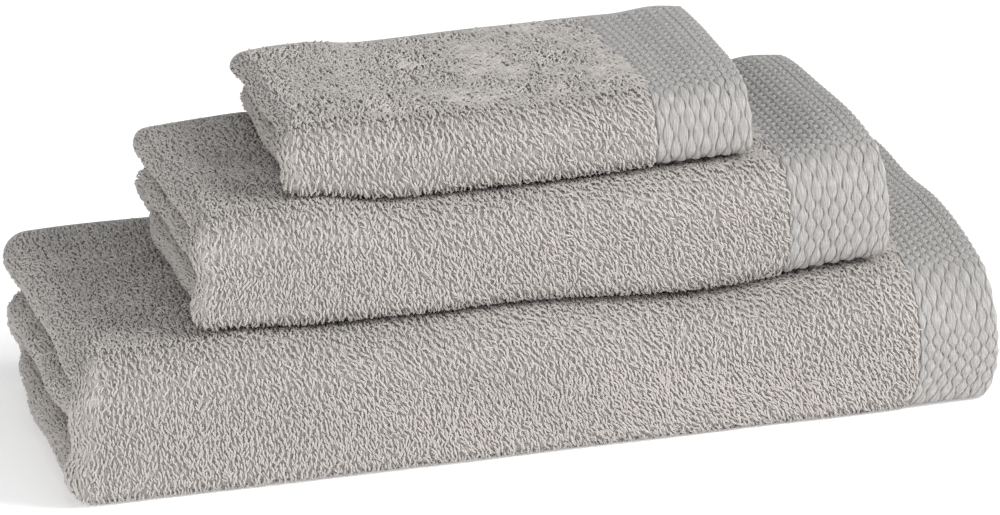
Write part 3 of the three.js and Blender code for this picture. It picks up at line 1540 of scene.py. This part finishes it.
@dataclass
class Stitching:
    """A row of lockstitches: short rounded lengths of thread, end to end.

    Attributes:
        towel: The towel that is sewn.
        stitch: Length of one stitch, in metres.
        gap: Distance between stitches.
        radius: The thread's radius.
        rings: How many rings of vertices a stitch has.
        sides: How many vertices a ring has.
    """

    towel: Towel
    stitch: float = 2.5 * MM
    gap: float = 0.7 * MM
    radius: float = 0.26 * MM
    rings: int = 5
    sides: int = 5

    def row(self, part: str, along: Array, across: Array, lift: float) -> bpy.types.Object:
        """Sews one row.

        Each stitch is a many-sided spindle between two points of the cloth, lifted in its
        middle by the thread's radius and sunk at both ends.

        Args:
            part: The piece's name after the towel's.
            along: (n, 2) each stitch's first and last distance along the cloth.
            across: (n, 2) each stitch's first and last distance across the cloth.
            lift: How far the thread's middle lies above the cloth's middle.

        Returns:
            The piece.
        """
        shares = np.linspace(0, 1, self.rings)
        heights = lift + self.radius * (1.4 * np.sin(np.pi * shares) - 1.0)
        radii = self.radius * np.clip(np.sin(np.pi * (0.12 + 0.76 * shares)) ** 0.5, 0.3, 1.0)
        a = along[:, :1] + (along[:, 1:] - along[:, :1]) * shares[None]
        c = across[:, :1] + (across[:, 1:] - across[:, :1]) * shares[None]
        point, forth, over, normal = self.towel.frames(a, c)
        runs_along = abs(along[0, 1] - along[0, 0]) > abs(across[0, 1] - across[0, 0])
        side = over if runs_along else forth
        angle = 2 * math.pi * np.arange(self.sides) / self.sides
        centre = point + normal * heights[None, :, None]
        ring = (
            side[:, :, None] * np.cos(angle)[None, None, :, None]
            + normal[:, :, None] * np.sin(angle)[None, None, :, None]
        ) * radii[None, :, None, None]
        points = centre[:, :, None] + ring
        number = np.arange(self.rings * self.sides).reshape(self.rings, self.sides)
        turned = np.roll(number, -1, axis=1)
        quads = np.stack([number[:-1], turned[:-1], turned[1:], number[1:]], axis=-1)
        quads = quads.reshape(-1, 4)
        fan = np.array([[0, k, k + 1] for k in range(1, self.sides - 1)])
        caps = np.concatenate([number[0][fan][:, ::-1], number[-1][fan]])
        if not runs_along:
            quads, caps = quads[:, ::-1], caps[:, ::-1]
        first = (np.arange(len(a)) * number.size)[:, None, None]
        return make_piece(
            f"{self.towel.name}_{part}",
            points.reshape(-1, 3),
            (quads[None] + first).reshape(-1, 4),
            (caps[None] + first).reshape(-1, 3),
        )

    def end_row(self) -> bpy.types.Object:
        """The row that holds the outer end's hem."""
        t = self.towel
        starts = np.arange(t.side_hem_width, t.marks["back_to"], self.stitch + self.gap)
        across = np.stack([starts, starts + self.stitch], axis=-1)
        inset, sunk = 0.9 * MM, 0.3 * MM
        along = np.full(across.shape, t.hem_width - inset)
        lift = t.hem_thickness / 2 - sunk
        return self.row("hem_stitching", along, across, lift)

    def side_row(self) -> bpy.types.Object:
        """The row that holds the top side hem, on the outer layer."""
        t = self.towel
        starts = np.arange(t.border, t.marks["rounded_to"], self.stitch + self.gap)
        along = np.stack([starts, starts + self.stitch], axis=-1)
        inset = 1.1 * MM
        across = np.full(along.shape, t.side_hem_width - inset)
        return self.row("side_stitching", along, across, t.side_hem_thickness / 2)


class TowelMaker:
    """Builds and dresses all the pieces of one towel.

    Attributes:
        FINE: The finest grid step along the cloth, where its honeycomb shows.
        SHOWN_LINES: Grid steps across the cloth of an end that shows, where it does and
            where it doesn't.
        HIDDEN_LINES: The same for the end folded inside.
        OPEN_EDGE: How far in from an open end its hem has finer steps.
        END_ROUNDING: How far in from an open end its hem is rounded.
    """

    FINE = 0.48 * MM
    SHOWN_LINES = (0.8 * MM, 2.6 * MM)
    HIDDEN_LINES = (1.3 * MM, 2.6 * MM)
    OPEN_EDGE = 1.6 * MM
    END_ROUNDING = 1.5 * MM

    def __init__(self, towel: Towel, dressed: dict[str, bpy.types.Material]) -> None:
        """Takes the towel's shape and the shared finishes.

        Args:
            towel: The folded towel.
            dressed: The finishes by name.
        """
        self.towel = towel
        self.dressed = dressed

    def _finish(
        self, piece: bpy.types.Object, finish: str, slot: str, *stands_for: str
    ) -> bpy.types.Object:
        """Gives a piece its material and its body, and hides the CAD nodes it replaces.

        Args:
            piece: The piece.
            finish: The name of its finish.
            slot: A slot's name; not used.
            stands_for: The CAD nodes it replaces, by their names after the towel's.

        Returns:
            The piece.
        """
        piece.data.materials.append(self.dressed[finish])
        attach(piece, self.towel.name)
        if stands_for:
            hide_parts(*[f"{self.towel.name}_{node}" for node in stands_for])
        return piece

    def _across_lines(self, fine: float, coarse: float) -> Array:
        """Grid lines across the cloth between its side hems, fine where it shows.

        Args:
            fine: The largest step on the top and the front.
            coarse: The largest step under them.

        Returns:
            The distances across the cloth.
        """
        t = self.towel
        low, high = t.side_hem_width, t.width - t.side_hem_width
        front = t.marks["front_to"] + 4 * MM
        return stepped([low, front, high], [fine, coarse])

    def terry_field(self) -> bpy.types.Object:
        """The ground weave of the whole looped field."""
        t, m = self.towel, self.towel.marks
        total = t.long_way.length
        low, high = t.side_hem_width, t.width - t.side_hem_width
        along = stepped(
            [
                t.border,
                m["rounded_from"],
                m["rounded_to"],
                m["return_from"],
                m["return_to"],
                total - t.border - 25 * MM,
                total - t.border,
            ],
            [6 * MM, 1.7 * MM, 14 * MM, 1.2 * MM, 14 * MM, 2 * MM],
        )
        edges, steps = [low, m["top_to"], m["front_to"], high], [5 * MM, 2.2 * MM, 6 * MM]
        if t.panels == 3:
            edges[3:3] = [m["under_to"], m["back_to"] + 0.1 * MM]
            steps = [6 * MM, 2.5 * MM, 8 * MM, 2.5 * MM, 8 * MM]
        across = stepped(edges, steps)
        piece = t.sheet("terry_field_cloth", along, across, t.ground)
        return self._finish(piece, "ground", "terry", "terry_field")

    def borders(self) -> list[bpy.types.Object]:
        """The honeycomb borders at both ends of the cloth."""
        t = self.towel
        total = t.long_way.length
        shown = t.sheet(
            "outer_border_cloth",
            stepped([t.hem_width, t.border], [self.FINE]),
            self._across_lines(*self.SHOWN_LINES),
            t.border_thickness,
            relief=t.relief,
        )
        hidden = t.sheet(
            "inner_border_cloth",
            stepped([total - t.border, total - t.hem_width], [1.0 * MM]),
            self._across_lines(*self.HIDDEN_LINES),
            t.border_thickness,
            relief=t.relief * 0.8,
        )
        return [
            self._finish(shown, "honeycomb", "border", "outer_border"),
            self._finish(hidden, "honeycomb", "border", "inner_border"),
        ]

    def end_hems(self) -> list[bpy.types.Object]:
        """The turned hems at both ends, in the same honeycomb weave."""
        t = self.towel
        total = t.long_way.length
        shown = t.sheet(
            "outer_end_hem_cloth",
            stepped([0.0, self.OPEN_EDGE, t.hem_width], [0.2 * MM, self.FINE]),
            self._across_lines(*self.SHOWN_LINES),
            t.hem_thickness,
            relief=t.relief * 0.7,
            round_ends=self.END_ROUNDING,
        )
        hidden = t.sheet(
            "inner_end_hem_cloth",
            stepped(
                [total - t.hem_width, total - self.OPEN_EDGE, total], [0.9 * MM, 0.25 * MM]
            ),
            self._across_lines(*self.HIDDEN_LINES),
            t.hem_thickness,
            relief=t.relief * 0.8,
            round_ends=self.END_ROUNDING,
        )
        return [
            self._finish(shown, "honeycomb", "hem", "outer_end_hem"),
            self._finish(hidden, "honeycomb", "hem", "inner_end_hem"),
        ]

    def side_hems(self) -> list[bpy.types.Object]:
        """The turned hems along both sides of the cloth, through all its layers."""
        t, m = self.towel, self.towel.marks
        total, wide = t.long_way.length, t.width
        along = stepped(
            [0.0, m["rounded_from"], m["rounded_to"], m["return_from"], m["return_to"], total],
            [3 * MM, 1.2 * MM, 6 * MM, 0.9 * MM, 6 * MM],
        )
        edge = stepped([0.0, 1.5 * MM, t.side_hem_width], [0.3 * MM, 0.9 * MM])
        thick, rounding = t.side_hem_thickness, 1.4 * MM
        top = t.sheet("top_side_hem_cloth", along, edge, thick, round_sides=rounding)
        inner = t.sheet(
            "inner_side_hem_cloth", along, wide - edge[::-1], thick, round_sides=rounding
        )
        return [
            self._finish(top, "hem", "hem", "top_side_hem"),
            self._finish(inner, "hem", "hem", "inner_side_hem"),
        ]

    def stitching(self) -> list[bpy.types.Object]:
        """The lockstitch rows that show."""
        sewing = Stitching(self.towel)
        return [
            self._finish(piece, "thread", "hem")
            for piece in (sewing.end_row(), sewing.side_row())
        ]

    def build(self, covered: Optional[Callable[[Array], Array]], rests_on: tuple[str, ...]) -> None:
        """Builds the towel's cloth, its stitching and its pile, and logs its sizes.

        Args:
            covered: Tells which points lie under another towel.
            rests_on: The names of what it lies on; not used.
        """
        t = self.towel
        field_piece = self.terry_field()
        others = self.borders() + self.end_hems() + self.side_hems() + self.stitching()
        for piece in Pile(t).weave(covered):
            self._finish(piece, "loops", "terry")
        LOG.info(
            "%s: cloth %.0f x %.0f mm folded to %.0f x %.0f x %.0f mm",
            t.name, t.long_way.length / MM, t.width / MM,
            t.length / MM, t.depth / MM, t.height / MM,
        )


# --------------------------------------------------------------------------------------
# The set, the light and the camera
# --------------------------------------------------------------------------------------


WARM = (1.0, 0.985, 0.965)
COOL = (0.96, 1.0, 1.0)
DAYLIGHT = (0.97, 0.99, 1.0)


def towards(azimuth: float, elevation: float) -> Vector:
    """The unit direction out from the stack.

    Args:
        azimuth: Degrees to the right of straight ahead of the front.
        elevation: Degrees above the surface.

    Returns:
        The direction, in the row frame.
    """
    turn, rise = math.radians(azimuth), math.radians(elevation)
    return Vector(
        (math.sin(turn) * math.cos(rise), -math.cos(turn) * math.cos(rise), math.sin(rise))
    )


@dataclass(frozen=True)
class View:
    """The camera: where it looks from, and how long its lens is.

    Attributes:
        azimuth: Degrees to the right of straight ahead of the front.
        elevation: Degrees above the surface.
        roll: Degrees that the camera is turned about its own axis.
        distance: From the point looked at, in metres.
        target: The point looked at.
        spread: The picture's width over its distance.
    """

    azimuth: float = -9.337
    elevation: float = 13.689
    roll: float = -4.452
    distance: float = 4.321
    target: tuple[float, float, float] = (8.1 * MM, 23.0 * MM, 45.2 * MM)
    spread: float = 0.08952

    def place(self) -> None:
        """Makes the camera and gives it to the scene."""
        turn, roll = math.radians(self.azimuth), math.radians(self.roll)
        back = towards(self.azimuth, self.elevation)
        level = Vector((math.cos(turn), math.sin(turn), 0.0))
        up = back.cross(level)
        right = level * math.cos(roll) + up * math.sin(roll)
        top = up * math.cos(roll) - level * math.sin(roll)
        lens = bpy.data.cameras.new("camera")
        lens.sensor_width = 36.0
        lens.lens = lens.sensor_width / self.spread
        lens.clip_start = 0.1
        lens.clip_end = 50.0
        camera = bpy.data.objects.new("camera", lens)
        bpy.context.scene.collection.objects.link(camera)
        matrix = Matrix((right, top, back)).transposed().to_4x4()
        matrix.translation = Vector(self.target) + back * self.distance
        camera.matrix_world = matrix
        bpy.context.scene.camera = camera


@dataclass(frozen=True)
class Lamp:
    """A soft square lamp that looks at the stack.

    Attributes:
        name: The lamp's name.
        azimuth: Degrees to the right of straight ahead of the front.
        elevation: Degrees above the surface.
        distance: From the stack, in metres.
        size: Its side, in metres.
        power: In watts.
        colour: Its light.
    """

    name: str
    azimuth: float
    elevation: float
    distance: float
    size: float
    power: float
    colour: Colour

    def place(self) -> None:
        """Makes the lamp."""
        back = towards(self.azimuth, self.elevation)
        light = bpy.data.lights.new(self.name, "AREA")
        light.shape = "SQUARE"
        light.size = self.size
        light.energy = self.power
        light.color = self.colour
        lamp = bpy.data.objects.new(self.name, light)
        lamp.location = Vector((0.0, 0.0, 50 * MM)) + back * self.distance
        lamp.rotation_euler = back.to_track_quat("Z", "Y").to_euler()
        bpy.context.scene.collection.objects.link(lamp)


LAMPS = (
    Lamp("key", azimuth=60.0, elevation=30.0, distance=2.2, size=1.4, power=64.0, colour=WARM),
    Lamp(
        "left_fill", azimuth=-62.0, elevation=12.0, distance=2.4, size=1.2, power=35.0, colour=WARM
    ),
    Lamp(
        "front_fill", azimuth=-5.0, elevation=14.0, distance=2.4, size=1.8, power=19.5, colour=WARM
    ),
    Lamp("over", azimuth=20.0, elevation=75.0, distance=1.3, size=0.9, power=3.5, colour=COOL),
    Lamp(
        "back_fill",
        azimuth=165.0,
        elevation=16.0,
        distance=2.4,
        size=1.8,
        power=13.0,
        colour=DAYLIGHT,
    ),
)


def studio() -> None:
    """The plain pale floor, the even surroundings and the soft lamps."""
    side = 6.0
    floor = make_piece(
        "floor",
        np.array([[-side, -side, 0.0], [side, -side, 0.0], [side, side, 0.0], [-side, side, 0.0]]),
        np.array([[0, 1, 2, 3]]),
    )
    paint = Finish("pale_floor")
    floor.data.materials.append(
        paint.finish(
            Base_Color=(0.93, 0.93, 0.93),
            Roughness=0.9,
            Specular_IOR_Level=0.1,
            Emission_Color=(1.0, 1.0, 1.0),
            Emission_Strength=0.3,
        )
    )
    world = bpy.data.worlds.new("surroundings")
    world.use_nodes = True
    back = world.node_tree.nodes["Background"]
    back.inputs["Color"].default_value = (0.93, 0.96, 1.0, 1.0)
    back.inputs["Strength"].default_value = 0.15
    bpy.context.scene.world = world
    for lamp in LAMPS:
        lamp.place()
    bpy.context.scene.view_settings.view_transform = "Standard"


def towel_set() -> list[Towel]:
    """The three towels, lowest first."""
    bath = Towel(
        name="bath_towel",
        flat=(1.40, 0.65),
        fold=LengthFold.QUARTERS,
        panels=3,
        turn=0.0,
        front_top=(20 * MM, 22 * MM),
        front_bottom=(4 * MM, 6 * MM),
        back=17 * MM,
        border=30 * MM,
        slump=Slump(
            wave=1.2 * MM,
            lobes=(6.0 * MM, 2.5 * MM, 0.5 * MM),
            lobes_back=(-3.0 * MM, 2.0 * MM, 0.5 * MM),
            wander=1.4 * MM,
            swell=(0.04, 0.0),
            droop=2 * MM,
            square=3 * MM,
            crown=(7 * MM, 6 * MM, 12 * MM),
            crown_reach=75 * MM,
            dip=(10 * MM, 65 * MM, 58 * MM),
            flare=(0.0, 0.5 * MM),
            tuck=9 * MM,
            skew=0.0,
            foot=4 * MM,
            seed=11,
        ),
    )
    hand = Towel(
        name="hand_towel",
        flat=(0.78, 0.50),
        fold=LengthFold.THIRDS,
        panels=3,
        turn=0.5,
        front_top=(15 * MM, 14 * MM),
        front_bottom=(4 * MM, 7 * MM),
        back=12.5 * MM,
        border=37 * MM,
        bed=bath,
        slump=Slump(
            wave=1.0 * MM,
            lobes=(2.5 * MM, 1.5 * MM, 1.5 * MM),
            lobes_back=(-3.0 * MM, 1.5 * MM, 1.5 * MM),
            wander=1.1 * MM,
            swell=(0.11, 0.11),
            droop=3 * MM,
            square=3.5 * MM,
            crown=(4.5 * MM, 4.2 * MM, 6.5 * MM),
            crown_reach=60 * MM,
            dip=(2.0 * MM, 0.0, 60 * MM),
            flare=(4.5 * MM, 0.5 * MM),
            tuck=6 * MM,
            skew=0.0,
            foot=1.5 * MM,
            seed=23,
        ),
    )
    guest = Towel(
        name="guest_towel",
        flat=(0.53, 0.30),
        fold=LengthFold.THIRDS,
        panels=2,
        turn=-0.4,
        front_top=(13 * MM, 13 * MM),
        front_bottom=(3 * MM, 6 * MM),
        back=4 * MM,
        border=36 * MM,
        bed=hand,
        loop_size=1.12,
        slump=Slump(
            wave=0.8 * MM,
            lobes=(1.0 * MM, 1.0 * MM),
            lobes_back=(-3.0 * MM, 1.5 * MM),
            wander=0.9 * MM,
            swell=(0.08, 0.09),
            droop=3.5 * MM,
            square=3.5 * MM,
            crown=(4 * MM, 3 * MM, 5 * MM),
            crown_reach=50 * MM,
            dip=(0.0, 0.0, 50 * MM),
            flare=(0.5 * MM, 2.5 * MM),
            tuck=2 * MM,
            skew=5.5 * MM,
            foot=1 * MM,
            seed=37,
        ),
    )
    return [bath, hand, guest]


def under(upper: Towel) -> Callable[[Array], Array]:
    """A test of whether points lie well under an upper towel.

    Args:
        upper: The upper towel.

    Returns:
        The test, which takes (n, 3) points and gives a truth value for each.
    """

    def covered(points: Array) -> Array:
        """True for points inside the upper towel's outline by 8 mm."""
        margin = 8 * MM
        beside = np.abs(points[:, 0] - upper.middle[0]) < upper.length / 2 - margin
        behind = np.abs(points[:, 1] - upper.middle[1]) < upper.depth / 2 - margin
        return beside & behind

    return covered


def main() -> None:
    """Builds the set, the floor, the light and the camera."""
    logging.basicConfig(level=logging.INFO, format="%(name)s: %(message)s")
    cotton = Cotton()
    dressed = {
        "ground": cotton.ground(),
        "loops": cotton.loops(),
        "honeycomb": cotton.honeycomb(),
        "hem": cotton.hem(),
        "thread": cotton.thread(),
    }
    towels = towel_set()
    for towel, upper in zip(towels, [*towels[1:], None]):
        covered = under(upper) if upper else None
        rests_on = f"{towel.bed.name}_terry_field_cloth" if towel.bed else "floor"
        TowelMaker(towel, dressed).build(covered, (rests_on,))
    studio()
    View().place()


if __name__ == "__main__":
    main()
